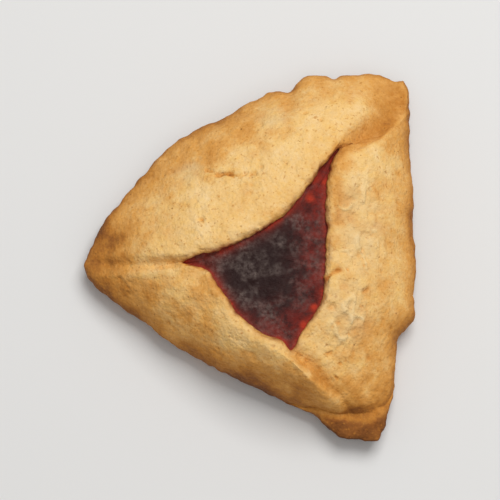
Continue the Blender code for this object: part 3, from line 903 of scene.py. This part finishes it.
# Where it thinned out to a clear red along the edge, with its reach, mean strength and the noise
# about it; and painted red glints in single spots, as place in plan and reach in mm, with their own
JAM_THINS = 0.6 * MM
JAM_THIN_MEAN = 0.75
JAM_THIN_UNEVEN = ((1.4 * MM, 0.6, 63),)
JAM_GLINTS = ((4.6, 8.8, 0.9), (7.6, 12.0, 0.6), (9.3, 16.6, 1.2), (5.4, -13.0, 0.8), (3.4, -16.4, 0.8))
JAM_GLINT_MEAN = 1.1
JAM_GLINT_UNEVEN = ((0.7 * MM, 0.6, 64),)

# Where it stayed red: the middle and the reach of each patch in mm, and its strength
RED_PATCHES = (
    ((7.5, 12.0), (5.0, 9.0), 1.0),
    ((5.0, -5.0), (3.2, 14.0), 0.75),
    ((0.0, -17.0), (8.0, 4.5), 0.75),
    ((-17.5, -4.5), (3.5, 2.5), 0.8),
)

# Cells of the skin's look: clouds of bloom and painted sheen, the flecks in them, the red's patches
# and the wrinkles, with the wrinkles' height
CLOUD_CELL = 4.6 * MM
FLECK_CELL = 0.8 * MM
RED_CELL = 2.2 * MM
SKIN_CELL = 0.6 * MM
SKIN_HEIGHT = 0.35 * MM


def jam_level(points):
    """Height of the jam at points in plan, and how far they lie from the opening's edge.

    The height is the mean of the lip's edge heights all round, weighted by the inverse cube of
    their distance, softened near the edge.
    """
    sample = slice(0, len(way), JAM_SAMPLE_STEP)
    away = np.linalg.norm(points[..., None, :] - opening[sample], axis=-1)
    weight = (away**2 + JAM_BLEND**2) ** -1.5
    level = (weight * (lip_edge[sample] - JAM_BELOW_LIP)).sum(axis=-1) / weight.sum(axis=-1)
    return level, away.min(axis=-1)


def baked_jam():
    """The material of baked raspberry jam: dark burgundy gel with a soft gloss.

    A greyish dusty film lies on it in clouds and flecks, partly painted sheen. The attributes say where
    it stayed red, where it thinned out enough to glow, and where painted red glints lie.
    """
    material = bpy.data.materials.new("baked raspberry jam")
    material.use_nodes = True
    tree = material.node_tree
    shader = tree.nodes["Principled BSDF"]
    place = add_node(tree, "ShaderNodeTexCoord", {}).outputs["Object"]
    thin_and_glint_value = add_node(tree, "ShaderNodeAttribute", {}, attribute_name="thin_and_glint").outputs["Fac"]
    red_value = add_node(tree, "ShaderNodeAttribute", {}, attribute_name="red").outputs["Fac"]

    # The bloom on the dark gel: a dusty film, partly a painted grey sheen
    cloud_noise = add_node(tree, "ShaderNodeTexNoise", {
        "Vector": place, "Scale": 1 / CLOUD_CELL, "Detail": 2.0, "Roughness": 0.6,
    }).outputs["Fac"]
    cloud = add_node(tree, "ShaderNodeMapRange", {
        "Value": cloud_noise, "From Min": 0.44, "From Max": 0.60, "To Min": 0.12, "To Max": 1.0,
    }).outputs[0]
    bloom_noise = add_node(tree, "ShaderNodeTexNoise", {
        "Vector": place, "Scale": 1 / FLECK_CELL, "Detail": 3.0, "Roughness": 0.6,
    }).outputs["Fac"]
    flecks = add_node(tree, "ShaderNodeMapRange", {
        "Value": bloom_noise, "From Min": 0.36, "From Max": 0.66, "To Min": 0.15, "To Max": 1.0,
    }).outputs[0]
    bloom_and_sheen = add_node(tree, "ShaderNodeMath", {0: cloud, 1: flecks}, operation="MULTIPLY").outputs[0]
    gel = add_node(tree, "ShaderNodeMix", {
        0: bloom_and_sheen, 6: linear("#24100f"), 7: linear("#645650"),
    }, data_type="RGBA").outputs[2]

    # The red patches, uneven, and over them the clear red of the thin places and the painted red glints
    red_noise = add_node(tree, "ShaderNodeTexNoise", {
        "Vector": place, "Scale": 1 / RED_CELL, "Detail": 6.0, "Roughness": 0.75,
    }).outputs["Fac"]
    reddening = add_node(tree, "ShaderNodeMapRange", {
        "Value": red_noise, "From Min": 0.40, "From Max": 0.60, "To Min": 0.15, "To Max": 0.9,
    }).outputs[0]
    red_share = add_node(tree, "ShaderNodeMath", {
        0: red_value, 1: reddening,
    }, operation="MULTIPLY").outputs[0]
    reddened = add_node(tree, "ShaderNodeMix", {
        0: red_share, 6: gel, 7: linear("#7a2219"),
    }, data_type="RGBA").outputs[2]
    rimmed = add_node(tree, "ShaderNodeMix", {
        0: thin_and_glint_value, 6: reddened, 7: linear("#b2361f"),
    }, data_type="RGBA").outputs[2]
    tree.links.new(rimmed, shader.inputs["Base Color"])

    # The finely wrinkled skin
    skin = add_node(tree, "ShaderNodeTexNoise", {
        "Vector": place, "Scale": 1 / SKIN_CELL, "Detail": 4.0, "Roughness": 0.7,
    }).outputs["Fac"]
    bump = add_node(tree, "ShaderNodeBump", {"Height": skin, "Strength": 0.9, "Distance": SKIN_HEIGHT})
    tree.links.new(bump.outputs["Normal"], shader.inputs["Normal"])
    shader.inputs["Roughness"].default_value = 0.55
    shader.inputs["Specular IOR Level"].default_value = 0.15

    return material


rim_level = np.minimum(jam_level(opening)[0], lip_edge - JAM_RIM_RISE)
filled_to = (lip_edge - rim_level) / (lip_edge - UNDERSIDE_THICKNESS)
upwards = np.linspace(1, 0, JAM_WALL_ROWS + 1)[:, None]
jam_wall = pocket_wall(filled_to + (1 - filled_to) * upwards, -JAM_INTO_DOUGH)
jam_base = closing_rings(jam_wall[0], UNDERSIDE_THICKNESS, JAM_BASE_ROWS)[::-1]

jam_top = closing_rings(jam_wall[-1], 0, JAM_TOP_ROWS)
inner_level, from_edge = jam_level(jam_top[..., :2])
way_in = np.linspace(0, 1, JAM_TOP_ROWS + 1)[1:-1, None]
jam_top[..., 2] = rim_level + (inner_level - rim_level) * smooth_step(way_in, 0, JAM_LEVEL_SHARE)
jam_top[..., 2] += layered_noise(jam_top, JAM_LUMPS) * smooth_step(from_edge, 0, JAM_LUMPS_FULL)

jam_rings = np.concatenate((jam_base, jam_wall, jam_top))
jam_peak = np.array((*CENTRE, jam_top[-1, :, 2].mean())) + to_frame
jam_mesh = closed_mesh("raspberry_filling", jam_rings + to_frame, floor_middle + to_frame, jam_peak)

# Clear red where the jam thinned out at the edge, and painted red glints in single spots
thin_and_glint = np.exp(-from_edge / JAM_THINS) * (JAM_THIN_MEAN + layered_noise(jam_top, JAM_THIN_UNEVEN))
glinting = JAM_GLINT_MEAN + layered_noise(jam_top, JAM_GLINT_UNEVEN)
for x, y, reach in JAM_GLINTS:
    thin_and_glint = np.maximum(thin_and_glint, patch(jam_top, (x, y), (reach, reach)) * glinting)
below_top = (len(jam_base) + len(jam_wall)) * len(way)
put_attribute(jam_mesh, "thin_and_glint", np.concatenate((np.ones(below_top), thin_and_glint.ravel(), (1, 0))))

red = sum(strength * patch(jam_rings, middle, reach) for middle, reach, strength in RED_PATCHES)
red[:len(jam_base)] = 0
put_attribute(jam_mesh, "red", np.concatenate((red.ravel(), (0, 0))))
jam_mesh.materials.append(baked_jam())
jam = bpy.data.objects.new("raspberry_filling", jam_mesh)
bpy.context.scene.collection.objects.link(jam)

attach(jam, "root")
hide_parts("raspberry_jam")


# The floor, the light and the camera
# The photograph looks almost straight down on the pastry, in soft light from the upper right. Here
# it lies on pale paper that reaches past the picture's edges.

longest_side = max(dough_high - dough_low)

# The floor's reach each way over the pastry's longest side
FLOOR_REACH = 20

floor_mesh = bpy.data.meshes.new("floor")
edge = FLOOR_REACH * longest_side
floor_mesh.from_pydata(
    [(-edge, -edge, 0), (edge, -edge, 0), (edge, edge, 0), (-edge, edge, 0)], [], [(0, 1, 2, 3)]
)
paper = bpy.data.materials.new("pale floor")
paper.use_nodes = True
paper.node_tree.nodes["Principled BSDF"].inputs["Base Color"].default_value = linear("#dddcda")
paper.node_tree.nodes["Principled BSDF"].inputs["Roughness"].default_value = 0.9
floor_mesh.materials.append(paper)
floor = bpy.data.objects.new("floor", floor_mesh)
bpy.context.scene.collection.objects.link(floor)


def add_light(name, way_in, distance, width, power):
    """A square soft light of that width and power that shines on the pastry from that direction."""
    lamp = bpy.data.lights.new(name, "AREA")
    lamp.size = width
    lamp.energy = power
    stand = bpy.data.objects.new(name, lamp)
    towards = Vector(way_in).normalized()
    stand.location = Vector(dough_middle) + towards * distance
    stand.rotation_euler = towards.to_track_quat("Z", "Y").to_euler()
    bpy.context.scene.collection.objects.link(stand)


add_light("key", (0.22, 0.42, 1.0), 0.7, 0.40, 3.65)
add_light("fill", (0.1, -0.3, 1.0), 0.8, 0.6, 0.9)

WORLD_LIGHT = 0.34
world = bpy.data.worlds.new("studio")
world.use_nodes = True
world.node_tree.nodes["Background"].inputs["Color"].default_value = (1.0, 1.0, 1.0, 1)
world.node_tree.nodes["Background"].inputs["Strength"].default_value = WORLD_LIGHT
bpy.context.scene.world = world
bpy.context.scene.view_settings.view_transform = "Standard"

# The camera's angle above the floor, its lens and sensor in millimetres, and the share of the
# picture's width that the pastry's longest side takes up
ELEVATION = np.radians(78)
LENS, SENSOR = 200.0, 36.0
FRAME_FILL = 0.76
lens = bpy.data.cameras.new("camera")
lens.lens = LENS
lens.sensor_width = SENSOR
lens.clip_start = 0.01
camera = bpy.data.objects.new("camera", lens)
back_off = Vector((0, -np.cos(ELEVATION), np.sin(ELEVATION)))
camera.location = Vector(dough_middle) + back_off * (longest_side / FRAME_FILL * LENS / SENSOR)
camera.rotation_euler = (np.pi / 2 - ELEVATION, 0, 0)
bpy.context.scene.collection.objects.link(camera)
bpy.context.scene.camera = camera
